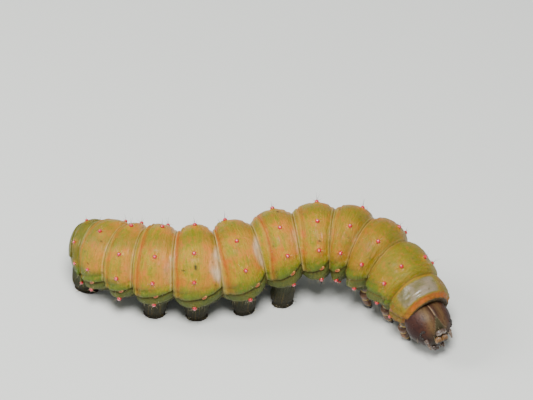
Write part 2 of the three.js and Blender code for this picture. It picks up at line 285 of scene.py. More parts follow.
def crease_place(segment, within_side, angle):
    """How far along its ring the main crease runs. It wavers and slants down the flank."""
    slant = CREASE_AT[segment, 1] * step(within_side, 10, 90)
    wave = 0.01 * np.sin(3 * angle + 1.7 * segment) + 0.006 * np.sin(8 * angle + segment)
    return CREASE_AT[segment, 0] + slant + wave


# The small creases of every ring: its number, place along it, middle angle, reach to each side, and depth
chance = random.Random(11)
SMALL_CREASES = []
for number in range(1, 13):
    for k in range(9):
        middle = chance.uniform(-100, 100)
        SMALL_CREASES.append(
            (number, chance.uniform(0.24, 0.97), middle, chance.uniform(14, 46), chance.uniform(0.03, 0.09))
        )


def relief(station, angle, turned):
    """Fine swellings and creases of the skin, in millimetres out of it."""
    s, i, u = ring_at(station)
    side = np.degrees(np.abs(angle))
    below = np.degrees(np.abs(turned)) - groove_place(u)
    lobe = np.sqrt(np.clip(np.sin(np.pi * np.clip((u - 0.03) / 0.94, 0, 1)), 0, 1))
    chest = step(s, 9.8, 10.3)
    folds = 0.2 * bell(below, -9, 6) - (0.22 + 0.16 * u) * bell(below, 0, 2.2) * (1 - 0.7 * chest)
    folds = folds + 0.5 * lobe * bell(below, 13, 8)
    folds = folds - 0.32 * bell(below, 27, 4) + 0.1 * bell(below, 36, 5) - 0.12 * bell(below, -17, 2.4)
    body = step(s, 0.6, 1.6)
    above = step(below, 2, -8)
    rings = step(s, 1.0, 1.6) * step(s, 11.9, 11.7)
    main = crease_place(i, side, angle)
    crease = (bell(u, main, 0.022) + 0.4 * bell(u, main + 0.085, 0.018)) * CREASE_AT[i, 2]
    edge = 0.1 * bell(u, main - 0.07, 0.03) + 0.07 * bell(u, main + 0.045, 0.02)
    front = -0.16 * bell(u, 0.9, 0.022) + 0.07 * bell(u, 0.85, 0.03)
    rim = (0.08 * bell(u, 0.025, 0.014) + 0.06 * bell(u, 0.965, 0.016)) * (1 - 0.6 * chest)
    out = folds * body + (edge - 0.26 * crease + front * step(side, 12, 30) + rim) * above * rings
    degrees = np.degrees(angle)
    for number, place, middle, reach, depth in SMALL_CREASES:
        window = step(np.abs(degrees - middle), reach, reach * 0.3)
        bent = place + 0.02 * np.sin(angle * 4 + number + place * 9)
        out = out - depth * (i == number) * window * (bell(u, bent, 0.02) - 0.6 * bell(u, bent + 0.045, 0.022))
    low = bell(u, 0.27, 0.03) + bell(u, 0.42, 0.025) + bell(u, 0.62, 0.03) + bell(u, 0.8, 0.025)
    out = out - 0.12 * low * step(below, 10, 20) * step(s, 0.8, 1.4)
    soft = 0.05 * np.sin(5 * angle + 2.1 * i) * np.sin(2 * np.pi * u + i)
    soft = soft + 0.025 * np.sin(9 * angle + 9 * u) + 0.015 * np.sin(23 * u + 4 * angle)
    out = out + soft * np.clip(s - 0.4, 0, 1) * step(s, 12.9, 12.5)
    out = out + 0.5 * plate_share(s, np.degrees(np.abs(turned))) * step(s, 0.0, 0.15)
    collar = step(s, 12.1, 12.3)
    lap = 0.95 * bell(s, 12.0, 0.13) * step(s, 12.2, 12.1)
    out = out + lap - 0.2 * bell(s, 12.2, 0.03)
    ruffle = 0.2 * bell(u, 0.92, 0.04) - 0.16 * bell(u, 0.82, 0.035)
    return out + collar * (ruffle + 0.05 * bell(u, 0.96, 0.08) * np.sin(angle * 22) - 0.55 * step(u, 0.8, 1.0))


NECK_STEPS = [0, 0.08, 0.16, 0.26, 0.5, 1]


def skin_points(station, angle):
    """Places on the skin in millimetres. An angle of 0 is the middle of the untwisted back."""
    station, angle = np.atleast_1d(np.asarray(station, float)), np.atleast_1d(np.asarray(angle, float))
    centre, ahead, right, back = frame_at(station)
    neck = np.clip(station - COUNT, 0, 1)
    roll = np.interp(neck, NECK_STEPS, [1, 0.98, 0.94, 0.88, 0.72, 0])
    forward = np.interp(neck, NECK_STEPS, [0, 0.3, 0.5, 0.5, 0.2, -0.3])
    half = (half_width(station) + relief(station, angle, angle - twist_at(station, angle))) * roll
    across = (np.sin(angle) * half)[:, None]
    up = (np.cos(angle) * half * np.where(np.abs(angle) > np.pi / 2, BELLY, 1))[:, None]
    return centre + across * right + up * back + forward[:, None] * ahead


PER_SEGMENT = 28
NECK_RINGS = 14
AROUND = 184
RINGS = PER_SEGMENT * COUNT + NECK_RINGS
skin_mesh = bmesh.new()
bmesh.ops.create_grid(skin_mesh, x_segments=RINGS, y_segments=AROUND, size=1)


def sheet_to_body(flat):
    """The station and angle of a point of the flat sheet. Its lines crowd at the folds and low on the flanks."""
    along = (flat[:, 0] + 1) / 2 * RINGS / PER_SEGMENT
    whole = np.floor(along)
    station = along - 0.45 * np.sin(2 * np.pi * (along - whole)) / (2 * np.pi)
    tail = np.clip(along, 0, 1)
    station = np.where(along < 1, tail**2.2 * 0.97 + 0.03 * tail**1.2, station)
    station = np.where(along > COUNT, COUNT + (along - COUNT) * PER_SEGMENT / NECK_RINGS, station)
    round_it = np.interp(np.abs(flat[:, 1]), [0, 0.4, 0.8, 1], [0, 80, 136, 180])
    return station, np.radians(round_it) * np.sign(flat[:, 1])


# The prolegs and claspers: station, side, spread from the middle, half-length, half-width, and the sole's lead;
# then their girth and their drop, from the skin down to the sole
STUMPS = [(NAMES.index(f"abdomen_{n}") + 0.5, side, 3.1, 1.75, 1.35, 0.0) for n in (3, 4, 5, 6) for side in (1, -1)]
STUMPS += [(0.95, side, 2.2, 1.9, 1.2, 0.9) for side in (1, -1)]
# The share of the patch's reach that its sole takes up
SOLE = 0.28
STUMP_STEPS = np.linspace(0, 1, 9)
STUMP_GIRTHS = [1.12, 1.12, 1.08, 1.0, 0.9, 0.82, 0.9, 0.98, 0.86]
STUMP_DROPS = [0.0, 0.3, 0.5, 0.68, 0.8, 0.88, 0.94, 0.975, 1.0]


def along_floor(way):
    level_way = np.array([way[0], way[1], 0])
    return level_way / np.linalg.norm(level_way)


def stump_place(station, angle, stump):
    """Round the patch: 0 at its middle and 1 at its rim, with the direction from its middle."""
    middle, side, spread, long, wide, lean = stump
    reach = half_width(middle)
    stride = np.linalg.norm(KNOTS[int(middle) + 1] - KNOTS[int(middle)])
    root = np.pi - math.asin(min(0.95, spread * 0.9 / float(reach)))
    forward = (station - middle) * stride / (long * 1.18)
    outward = (root - angle * side) * float(reach) * 0.92 / (wide * 1.3)
    return np.hypot(forward, outward), np.arctan2(outward, forward)


def stump_points(near, direction, stump):
    """Places on a stub leg in millimetres, for how near they are to the middle of its patch."""
    middle, side, spread, long, wide, lean = stump
    centre, ahead, right, back = (row[0] for row in frame_at(middle))
    level_right, level_ahead = along_floor(right) * side, along_floor(ahead)
    top = centre + level_right * spread * 0.75
    top[2] -= float(half_width(middle)) * 0.35
    sole = np.array([centre[0], centre[1], 0]) + level_right * spread + level_ahead * lean
    down = np.clip((1 - near) / (1 - SOLE), 0, 1)
    fall = np.interp(down, STUMP_STEPS, STUMP_DROPS)
    girth = np.interp(down, STUMP_STEPS, STUMP_GIRTHS)
    girth = girth * np.where(near < SOLE, near / SOLE, 1) * (1 + 0.025 * np.sin(down * 38))
    path = top + (sole - top) * (0.42 + 0.58 * fall)[:, None]
    path[:, 2] += np.where(near < SOLE, 0.18 * bell(near, 0.1, 0.09), 0)
    forward = (np.cos(direction) * girth * long)[:, None] * level_ahead
    outward = (np.sin(direction) * girth * wide)[:, None] * level_right
    return path + forward + outward, down


flat = np.array([v.co for v in skin_mesh.verts])
stations, angles = sheet_to_body(flat)
drawn_out = np.min([stump_place(stations, angles, stump)[0] for stump in STUMPS], axis=0) < 1.08
for vert, wanted in zip(skin_mesh.verts, drawn_out):
    vert.select = bool(wanted)
patch_edges = [edge for edge in skin_mesh.edges if edge.verts[0].select and edge.verts[1].select]
bmesh.ops.subdivide_edges(skin_mesh, edges=patch_edges, cuts=1, use_grid_fill=True)

flat = np.array([v.co for v in skin_mesh.verts])
stations, angles = sheet_to_body(flat)
places = skin_points(stations, angles)
foot_share = np.zeros(len(flat))
for stump in STUMPS:
    near, direction = stump_place(stations, angles, stump)
    inside = near < 1
    drawn, down = stump_points(near[inside], direction[inside], stump)
    blend = step(near[inside], 1.0, 0.8)[:, None]
    places[inside] = places[inside] * (1 - blend) + drawn * blend
    foot_share[inside] = np.maximum(foot_share[inside], down)
places[:, 2] = np.maximum(places[:, 2], 0.0)

# Where the warts stand: station, angle and size of each, with its row, the angle from the middle of the back.
# The skin rises round the foot of each
WARTS = []
for index, name in enumerate(NAMES):
    rows = {
        "abdomen_10": [],
        "abdomen_9": [(27, 0.7), (66, 0.7), (112, 0.8)],
        "abdomen_8": [(0, 0.95), (66, 0.85), (112, 0.9)],
        "prothorax": [(112, 0.8)],
    }.get(name, [(27, 1), (66, 1), (112, 1)])
    if name in ("abdomen_1", "abdomen_2"):
        rows.append((136, 0.8))
    for degrees, size in rows:
        for side in (1, -1) if degrees else (1,):
            turned = math.radians(degrees) * side
            at = index + WARTS_AT[index]
            WARTS.append((at, float(turned + twist_at(at, turned)), size, degrees))
wart_feet = np.concatenate([skin_points(at, angle) for at, angle, size, row in WARTS])
wart_outs = np.concatenate([skin_points(at, angle) - frame_at(at)[0] for at, angle, size, row in WARTS])
wart_outs /= np.linalg.norm(wart_outs, axis=1, keepdims=True)
halo = np.zeros(len(flat))
for foot, out, (at, angle, size, row) in zip(wart_feet, wart_outs, WARTS):
    distance = np.linalg.norm(places - foot, axis=1)
    ring = bell(distance, 0, 0.5 * size) - 0.35 * bell(distance, 0.85 * size, 0.16)
    places += out * (0.16 * ring * (foot_share < 0.1))[:, None]
    halo = np.maximum(halo, bell(distance, 0, 0.85 * size))

# A few dark marks on the right flank and back: the station, the angle, and the half-length round the body
MARKS = [(5.51, 47.5, 3.4), (5.24, 51.5, 1.3), (2.77, 25.5, 1.3)]
MARKS += [(2.54, 65.5, 1.4), (8.63, 45.5, 1.5), (7.7, -21.5, 2.4)]
MARK_HALF_WIDTH = 0.032
marks = np.zeros(len(flat))
for mark_station, mark_angle, reach in MARKS:
    away_from = np.hypot((stations - mark_station) / MARK_HALF_WIDTH, (np.degrees(angles) - mark_angle) / reach)
    marks = np.maximum(marks, step(away_from, 1.3, 0.7))

# Where each colour of the skin lies
whole = np.clip(stations, 0, COUNT - 1e-6)
segment_index = whole.astype(int)
within = whole - segment_index
turned = angles - twist_at(stations, angles)
side = np.degrees(np.abs(turned))
plain_side = np.degrees(np.abs(angles))
# How much pale stretched skin shows in front of each ring's fold, from the tail on
MEMBRANES = np.array([0.0, 0.1, 0.15, 0.3, 0.45, 1.0, 0.95, 0.4, 0.3, 0.3, 0.1, 0.1, 0.0])
membrane = MEMBRANES[segment_index]
main = crease_place(segment_index, plain_side, angles)
strength = CREASE_AT[segment_index, 2]
below = side - groove_place(within)
above = step(below, 2, -10)
on_rings = step(whole, 1.2, 1.8) * step(whole, 12.15, 11.9)
behind_collar = step(whole, 11.9, 11.8)
front_band = 0.96 - 0.22 * bell(side, 50, 28)
rear = step(whole, 4.5, 2.0)
chest_side = np.abs(np.degrees(turned) - 20)
masks = {
    "flank": step(side, 62 - 14 * rear, 96 - 16 * rear),
    "ridge": step(side, 22 + 12 * rear, 6 + 8 * rear) * step(whole, 0.6, 1.2),
    "belly": step(below, 26, 34),
    "lobe": step(below, -4, 4) * step(whole, 1.0, 2.0),
    "pale": membrane * step(within, front_band - 0.06, front_band + 0.14) * step(below, -4, -26) * step(side, 0, 30),
    "blush": bell(within, 0.8, 0.16) * step(below, -12, -32) * step(whole, 9.5, 7.4) * step(whole, 2.0, 3.0),
    "crease": (bell(within, main, 0.045) + 0.3 * bell(within, main + 0.085, 0.03)) * above * on_rings * strength,
    "behind": bell(within, main - 0.06, 0.03) * above * on_rings,
    "fold": (bell(within, 0, 0.02) + bell(within, 1, 0.02)) * step(whole, 1.5, 2.0) * behind_collar
    + bell(whole, 12.19, 0.025),
    "ochre": step(whole, 7.6, 10.6),
    "chest": step(whole, 10.3, 11.4),
    "tail": step(whole, 3.2, 0.9),
    "tip": step(whole, 2.16, 1.98),
    "groove": bell(below, 0, 2.6) * step(whole, 1.0, 2.0) * step(whole, 12.6, 12.2),
    "line": bell(below, 19, 3) * step(whole, 1.3, 2.2) * step(whole, 12.4, 12.0),
    "slit": bell(below, 0.5, 1.5) * step(whole, 1.3, 2.2) * step(whole, 10.6, 10.0) * bell(within, 0.6, 0.34),
    "rim": (bell(within, 0.022, 0.012) + 0.7 * bell(within, 0.965, 0.012))
    * above
    * on_rings
    * (1 - 0.5 * step(whole, 9.8, 10.3))
    * behind_collar,
    "shield": step(whole, 12.29, 12.37) * step(whole, 12.93, 12.87) * step(chest_side, 48, 36),
    "cheek": step(whole, 12.25, 12.4) * step(chest_side, 44, 62) * step(side, 128, 110),
    "edge": bell(whole + 0.015 * np.sin(angles * 6), 12.24, 0.02) * step(side, 90, 60)
    + 0.8 * bell(whole, 2.12, 0.04),
    "collar": step(stations, 12.91, 12.96) * step(stations, 13.13, 13.07) * (0.45 + 0.55 * step(plain_side, 75, 35)),
    "neck": step(stations, 13.05, 13.14),
    "plate": plate_share(whole, side),
    "halo": halo,
    "mark": marks,
    "foot": foot_share,
    "station": stations,
    "around": plain_side / 180,
}
layers = {name: skin_mesh.verts.layers.float.new(name) for name in masks}
for index, (vert, place) in enumerate(zip(skin_mesh.verts, places * MM)):
    vert.co = place
    for name, layer in layers.items():
        vert[layer] = masks[name][index]
bmesh.ops.remove_doubles(skin_mesh, verts=skin_mesh.verts, dist=2e-6)


def attribute(where, name):
    return where.node("ShaderNodeAttribute", {"attribute_name": name}, output="Fac")


def place_of(across, along, third=0.0):
    return across.node("ShaderNodeCombineXYZ", None, {0: across, 1: along, 2: third})


def cells(where, scale):
    return where.node("ShaderNodeTexVoronoi", {"feature": "F1"}, {"Vector": where, "Scale": scale})


def bump(height, distance, strength):
    return height.node("ShaderNodeBump", None, {"Height": height, "Distance": distance, "Strength": strength})


skin_material, skin_shader, where = new_material(
    "larva_skin",
    {
        "Subsurface Weight": 0.22,
        "Subsurface Radius": (1.0, 0.7, 0.3),
        "Subsurface Scale": 0.0007,
        "Coat Roughness": 0.22,
        "Specular IOR Level": 0.32,
    },
)
seen = {name: attribute(where, name) for name in masks}
blotch = noise(where, 460, 4, 0.55)
speck = noise(where, 1500, 3, 0.6)
drift = noise(where, 130, 2)
streak = noise(place_of(seen["station"] * 12, seen["around"] * 8), 1.0, 4, 0.6, 0.6)


def layered(tone, *coats):
    """A tone with coats over it, each given as its amount and its own tone."""
    for amount, coat in coats:
        tone = amount.tint(tone, coat)
    return tone


amber = layered(
    blotch.ramp(0.46, 0.66).tint((160, 134, 6), (190, 116, 16)),
    (streak.ramp(0.52, 0.7) * 0.5, (192, 90, 34)),
    (streak.ramp(0.52, 0.36) * 0.7, (116, 124, 6)),
    (seen["blush"] * (0.25 + drift * 0.75), (206, 122, 44)),
    (seen["ochre"] * 0.7, blotch.tint((128, 100, 5), (148, 98, 10))),
    (seen["chest"] * 0.8, blotch.tint((112, 116, 3), (134, 110, 6))),
    (seen["tail"] * 0.8, blotch.tint((104, 108, 10), (144, 112, 18))),
    (seen["tip"] * 0.85, blotch.tint((70, 84, 6), (112, 100, 18))),
    # A greener strip along the middle of the back: partly the skin's own green, partly a painted green reflection of
    # the surroundings
    (seen["ridge"] * 0.55, (106, 106, 10)),
)
flank = (seen["flank"] + (blotch - 0.5) * 0.6 + (drift - 0.5) * 0.35 + (streak - 0.5) * 0.4).ramp(0.15, 0.95)
green = speck.tint((64, 94, 8), (90, 108, 14))
crumb = noise(where, 1800, 3, 0.62)
pale_amount = (seen["pale"] * (0.2 + streak * 0.9 + blotch * 0.5)).ramp(0.1, 1.15) * 0.8
ochre_side = blotch.ramp(0.4, 0.6).tint((112, 96, 10), (136, 78, 12))
orange = blotch.ramp(0.35, 0.65).tint((188, 76, 6), (148, 74, 8))
wrinkle = noise(place_of(seen["station"] * 30, seen["around"] * 16), 1.0, 4, 0.65, 0.4)
shield = blotch.ramp(0.35, 0.65).tint((142, 126, 110), (98, 94, 58))
shield = (drift.ramp(0.45, 0.7) * 0.5).tint(shield, (150, 116, 74))
tone = layered(
    amber,
    (flank * 0.92, green),
    (crumb.ramp(0.53, 0.66) * 0.36, (98, 112, 6)),
    (crumb.ramp(0.46, 0.34) * (0.3 - flank * 0.14 - seen["tip"] * 0.14), (206, 100, 34)),
    # Small pale flecks: painted glints of light on the skin
    (speck.ramp(0.62, 0.78) * 0.16, (222, 180, 60)),
    # The lower lobes under the groove are painted dark olive: painted shade, as they face down, away from the lamp
    (seen["lobe"] * 0.93, speck.tint((58, 70, 14), (84, 92, 26))),
    # The belly is painted nearly black: painted shade under the body
    (seen["belly"] * 0.75, (40, 42, 12)),
    (seen["behind"] * 0.4, (190, 138, 58)),
    (seen["crease"] * (0.75 - seen["flank"] * 0.35) * (0.55 + blotch * 0.7), (172, 62, 4)),
    (pale_amount, blotch.ramp(0.35, 0.65).tint((216, 168, 124), (206, 190, 160))),
    (seen["rim"] * (0.2 + speck * 0.6), (214, 192, 130)),
    # Brown and near-black along the groove under the breathing holes: painted shade in the groove
    (seen["groove"] * (0.2 + speck * 0.5), speck.tint((76, 58, 8), (116, 70, 14))),
    (seen["slit"] * (0.2 + blotch), (26, 24, 4)),
    (seen["line"] * (0.3 + speck * 0.4), (156, 150, 84)),
    # Dark brown at the folds between the rings: painted shadow in the folds
    (seen["fold"] * 0.6, (84, 58, 14)),
    # The halo is kept faint on the lower lobes so that their painted shade stays dark
    (seen["halo"] * (0.45 - seen["lobe"] * 0.37), (196, 134, 30)),
    (seen["plate"] * 0.6, (88, 92, 12)),
    (seen["cheek"] * (0.25 + speck * 0.8), ochre_side),
    (seen["shield"] * 0.85, shield),
    (seen["edge"] * 0.6, (186, 112, 24)),
    (seen["collar"] * (0.65 + blotch * 0.3), orange),
    # The neck between the collar and the head is painted dark brown: painted shade where the head tucks under the
    # collar
    (seen["neck"] * 0.94, speck.tint((44, 28, 14), (70, 50, 24))),
    # The stub legs are painted dark brown from the root on: painted shade under the body. The darker band at the
    # sole is their own colour
    (seen["foot"].ramp(0.0, 0.3) * 0.9, speck.tint((20, 17, 6), (38, 32, 12))),
    (seen["foot"].ramp(0.62, 0.86) * 0.9, speck.tint((16, 11, 8), (34, 24, 15))),
    (speck.ramp(0.36, 0.24) * 0.2, (74, 60, 12)),
    (seen["mark"] * 0.95, (20, 16, 6)),
    # Along the fine wrinkles: painted shade in their troughs and painted sheen on their crests
    (wrinkle.ramp(0.48, 0.3) * 0.22, (84, 70, 6)),
    (wrinkle.ramp(0.54, 0.72) * 0.14, (224, 184, 60)),
    (cells(where, 420.0).ramp(0.1, 0.06) * 0.45, (72, 66, 20)),
)
strand = noise(place_of(seen["station"] * 5, seen["around"] * 120, 3.0), 1.0, 3, 0.6, 0.3)
grain = noise(where, 5200, 2, 0.6)
surface = wrinkle * (0.7 - seen["lobe"] * 0.3) + crumb * 0.25 + strand * seen["lobe"] * 0.9
surface = surface + blotch * 0.5 + grain * 0.2
dampness = seen["pale"] * 0.14 + seen["shield"] * 0.16
feed(
    skin_shader,
    Base_Color=tone,
    Roughness=0.36 + blotch * 0.14 + streak * 0.12 + seen["flank"] * 0.06 - dampness,
    Coat_Weight=0.02 + streak.ramp(0.45, 0.7) * 0.1 + seen["pale"] * 0.35 + seen["shield"] * 0.5,
    Normal=bump(surface, 0.00042, 0.9),
)


def finished(name, mesh_maker, material, slot, *nodes):
    mesh = bpy.data.meshes.new(name)
    mesh_maker.to_mesh(mesh)
    mesh_maker.free()
    for polygon in mesh.polygons:
        polygon.use_smooth = True
    mesh.materials.append(material)
    piece = bpy.data.objects.new(name, mesh)
    scene.collection.objects.link(piece)
    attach(piece, "root")
    if nodes:
        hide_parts(*nodes)


PROLEGS = [f"proleg_{n}_{side}" for n in (3, 4, 5, 6) for side in ("right", "left")]
finished("skin", skin_mesh, skin_material, "skin", *NAMES, *PROLEGS, "clasper_right", "clasper_left", "tail_plate")

# The warts: round coral-pink knobs in rows along the back and flanks, glossy as beads, each with a painted pale
# highlight on top.
# Each is one small ball pressed into the top of a swelling of the skin.


def blank_mesh(*names):
    """An empty mesh, and a layer of each name that keeps a number for every point."""
    made = bmesh.new()
    return made, *(made.verts.layers.float.new(name) for name in names)


wart_mesh, tip_layer = blank_mesh("tip")
for foot, out, (at, angle, size, row) in zip(wart_feet, wart_outs, WARTS):
    ball = bmesh.ops.create_icosphere(wart_mesh, subdivisions=3, radius=1)["verts"]
    stand = Vector(out).to_track_quat("Z", "Y")
    for vert in ball:
        x, y, z = vert.co
        lumps = 1 + 0.07 * math.sin(7 * x + 3 * row) * math.sin(6 * y + at) * math.cos(5 * z)
        girth = 0.33 * size * lumps
        vert[tip_layer] = z
        local = Vector((x * girth, y * girth, 0.1 + z * 0.36 * size * lumps))
        vert.co = (Vector(foot) + stand @ local) * MM
wart_material, wart_shader, where = new_material(
    "wart_shell", {"Subsurface Weight": 0.1, "Subsurface Scale": 0.0003, "Coat Roughness": 0.1}
)
tip = attribute(where, "tip")
patchy = noise(where, 1900, 3)
wart_pink_and_highlight = (tip + patchy * 0.5).ramp(-0.1, 0.9).tint((150, 34, 8), (188, 8, 30))
# The pale tip of each wart is a painted highlight
wart_pink_and_highlight = (tip + patchy * 0.3).ramp(1.0, 1.2).tint(wart_pink_and_highlight, (252, 170, 190))
feed(wart_shader, Base_Color=wart_pink_and_highlight, Roughness=0.25 + patchy * 0.2, Coat_Weight=0.5 + tip * 0.3)
finished("warts", wart_mesh, wart_material, "skin")

# The bristles: every wart carries one or two long dark bristles and a star of short ones, pale or dark,
# and finer pale hairs are strewn over the flanks. Each is a bent tapering rod rooted in the skin.
STAR_BRISTLES = 6
FLANK_HAIRS = 420
draw = random.Random(7)


def unwrap_place(station, angle):
    """The spot of a hair's root on the unwrap that holds every hair."""
    return 0.03 + 0.94 * station / (COUNT + 1), 0.03 + 0.94 * (angle / (2 * math.pi) + 0.5)


def add_rod(maker, sides, cuts, tip=1):
    """A plain upright rod, one unit long and in radius, cut across so that it can bend."""
    bmesh.ops.create_cone(maker, segments=sides, radius1=1, radius2=tip, depth=1, cap_ends=True)
    uprights = [edge for edge in maker.edges if abs(edge.verts[0].co.z - edge.verts[1].co.z) > 0.5]
    bmesh.ops.subdivide_edges(maker, edges=uprights, cuts=cuts)


def rod_form(sides, joints):
    """A tapering rod, to be copied for every hair."""
    made = bmesh.new()
    add_rod(made, sides, joints - 1, 0.12)
    form = bpy.data.meshes.new(f"rod_{sides}_{joints}")
    made.to_mesh(form)
    made.free()
    return form


STOUT_ROD, FINE_ROD = rod_form(4, 5), rod_form(3, 3)
UNWRAP_CELL = (0.0008, 0.0024)


def add_hair(maker, root, out, length, girth, droop, dark, place, form=FINE_ROD):
    """One hair, in millimetres, from its root along out, bending by droop. place is its spot on the unwrap."""
    first_vert, first_face = len(maker.verts), len(maker.faces)
    maker.from_mesh(form)
    maker.verts.ensure_lookup_table()
    maker.faces.ensure_lookup_table()
    turn = Vector(out).to_track_quat("Z", "Y")
    shade = maker.verts.layers.float["dark"]
    for vert in maker.verts[first_vert:]:
        x, y, z = vert.co
        z += 0.5
        local = turn @ Vector((x * girth, y * girth, z * length))
        vert.co = (Vector(root) + local + Vector(droop) * z * z * length) * MM
        vert[shade] = dark
    unwrap = maker.loops.layers.uv["OFBake"]
    for number, face in enumerate(maker.faces[first_face:]):
        for corner, loop in enumerate(face.loops):
            column, row = (number + corner // 2) % 4, corner % 2
            loop[unwrap].uv = (place[0] + column * UNWRAP_CELL[0], place[1] + row * UNWRAP_CELL[1])


def hair_maker():
    made, dark_layer = blank_mesh("dark")
    made.loops.layers.uv.new("OFBake")
    return made


bristle_mesh = hair_maker()
for foot, out, (at, angle, size, row) in zip(wart_feet, wart_outs, WARTS):
    tip_place = foot + out * (0.38 * size)
    spot = unwrap_place(at, angle)
    axis = Vector(out)
    side_way = axis.cross(Vector((0.3, 0.2, 0.9))).normalized()
    for k in range(1 if row > 100 or size < 0.9 else 2):
        lean = (axis + side_way * draw.uniform(-0.5, 0.5) + Vector((draw.uniform(-0.3, 0.3), 0.1, 0))).normalized()
        droop = (draw.uniform(-0.2, 0.2), draw.uniform(-0.2, 0.2), draw.uniform(-0.25, 0.05))
        add_hair(bristle_mesh, tip_place, lean, draw.uniform(0.8, 1.45) * size, 0.022, droop, 1.0, spot, STOUT_ROD)
    for k in range(STAR_BRISTLES):
        turn = 2 * math.pi * (k + draw.random() * 0.6) / STAR_BRISTLES
        across = side_way * math.cos(turn) + axis.cross(side_way) * math.sin(turn)
        lean = (axis * draw.uniform(0.25, 0.9) + across).normalized()
        root = foot + out * (0.3 * size) + np.array(across) * 0.28 * size
        droop = (0, 0, draw.uniform(-0.2, 0.1))
        shade = 0.15 if draw.random() < 0.6 else 0.85
        add_hair(bristle_mesh, root, lean, draw.uniform(0.4, 0.95) * size, 0.013, droop, shade, spot)
hair_stations = [draw.uniform(0.5, 12.7) for k in range(FLANK_HAIRS)]
hair_sides = [draw.uniform(20, 165) * draw.choice((1, -1)) for k in range(FLANK_HAIRS)]
hair_roots = skin_points(hair_stations, np.radians(hair_sides))
hair_axes = hair_roots - frame_at(hair_stations)[0]
for at, degrees, root, axis in zip(hair_stations, hair_sides, hair_roots, hair_axes):
    axis = Vector(axis).normalized()
    lean = (axis + Vector([draw.uniform(-0.5, 0.5) for _ in range(3)])).normalized()
    length = draw.uniform(0.35, 0.8) * (1.25 if abs(degrees) > 95 else 0.8)
    droop = (0, 0, draw.uniform(-0.3, 0))
    spot = unwrap_place(at, math.radians(degrees))
    add_hair(bristle_mesh, root - np.array(axis) * 0.05, lean, length, 0.012, droop, 0.15, spot)
bristle_material, bristle_shader, where = new_material("bristle", {"Specular IOR Level": 0.5})
darkness = attribute(where, "dark") * (0.85 + noise(where, 900, 2) * 0.3)
feed(
    bristle_shader,
    Base_Color=darkness.ramp(0.1, 0.9).tint((226, 210, 166), (34, 22, 16)),
    Roughness=0.3 + darkness * 0.15,
)
finished("bristles", bristle_mesh, bristle_material, "dark_shell")

# The breathing holes: small orange-brown ovals with a raised lip and a dark slit,
# one on each flank of the collar segment and of the first eight abdominal rings.
hole_mesh, slit_layer = blank_mesh("slit")
for name in ["prothorax"] + [f"abdomen_{n}" for n in range(1, 9)]:
    at = NAMES.index(name) + (0.45 if name == "prothorax" else 0.66)
    for side_sign in (1, -1):
        angle = math.radians(groove_place(at % 1) - 4) * side_sign
        angle = float(angle + twist_at(at, angle))
        centre, ahead, right, back = (row[0] for row in frame_at(at))
        here = skin_points(at, angle)[0]
        axis = Vector(here - centre).normalized()
        tall = (Vector(back) - axis * Vector(back).dot(axis)).normalized()
        ahead_way = (Vector(ahead) - axis * Vector(ahead).dot(axis)).normalized()
        long_way = tall * 0.64 + ahead_way * 0.77
        disc = bmesh.ops.create_circle(hole_mesh, cap_ends=True, segments=20, radius=1)["verts"]
        face = disc[0].link_faces[0]
        for depth, thickness in ((0.1, 0.16), (-0.02, 0.16), (-0.12, 0.22)):
            bmesh.ops.inset_individual(hole_mesh, faces=[face], thickness=thickness, depth=depth)
        ring_verts = {v for f in hole_mesh.faces if f.is_valid for v in f.verts if v not in disc and not v.tag}
        for vert in [*disc, *ring_verts]:
            vert.tag = True
            x, y, z = vert.co
            reach = math.hypot(x, y)
            vert[slit_layer] = 1 - reach
            rise = -0.03 if reach > 0.97 else 0.05 + z * 0.5
            local = long_way * y * 0.46 + long_way.cross(axis) * x * 0.27 + axis * rise
            vert.co = (Vector(here) + local) * MM
bmesh.ops.recalc_face_normals(hole_mesh, faces=hole_mesh.faces)
hole_material, hole_shader, where = new_material("breathing_hole", {"Coat Weight": 0.2})
slit = attribute(where, "slit")
rim = slit.ramp(0.1, 0.4).tint((186, 122, 44), (146, 66, 14))
rim = slit.ramp(0.5, 0.75).tint(rim, (36, 16, 6))
feed(hole_shader, Base_Color=rim, Roughness=0.32 + noise(where, 2500) * 0.2)
finished("breathing_holes", hole_mesh, hole_material, "skin")

# The head: a hard brown shell of two swollen lobes, parted by a fine pale seam that forks over the face.
# It is a ball with its poles at the crown and at the mouth, pressed to shape, with a pitted satin surface.
HEAD_CENTRE = Vector((25.35, -12.6, 5.15)) - Vector(HOME)
HEAD_HALF_WIDTH, HEAD_HALF_LENGTH, HEAD_HALF_DEPTH = 3.6, 3.6, 2.85
dip, heading, head_roll = math.radians(38), math.radians(-57), math.radians(-3)
to_mouth = Vector((math.cos(dip) * math.cos(heading), math.cos(dip) * math.sin(heading), -math.sin(dip)))
level = to_mouth.cross(Vector((0, 0, 1))).normalized()
out_of_face = Matrix.Rotation(head_roll, 3, to_mouth) @ level.cross(to_mouth)
to_right = to_mouth.cross(out_of_face).normalized()


def head_point(right, mouth, face):
    return (HEAD_CENTRE + to_right * right + to_mouth * mouth + out_of_face * face) * MM


# How far toward the mouth the seam forks, with the crown at -1
FORK_FROM = -0.12


def fork_at(y):
    """How far to each side of the middle the forked seam lies."""
    return 0.42 * max(0, y - FORK_FROM)


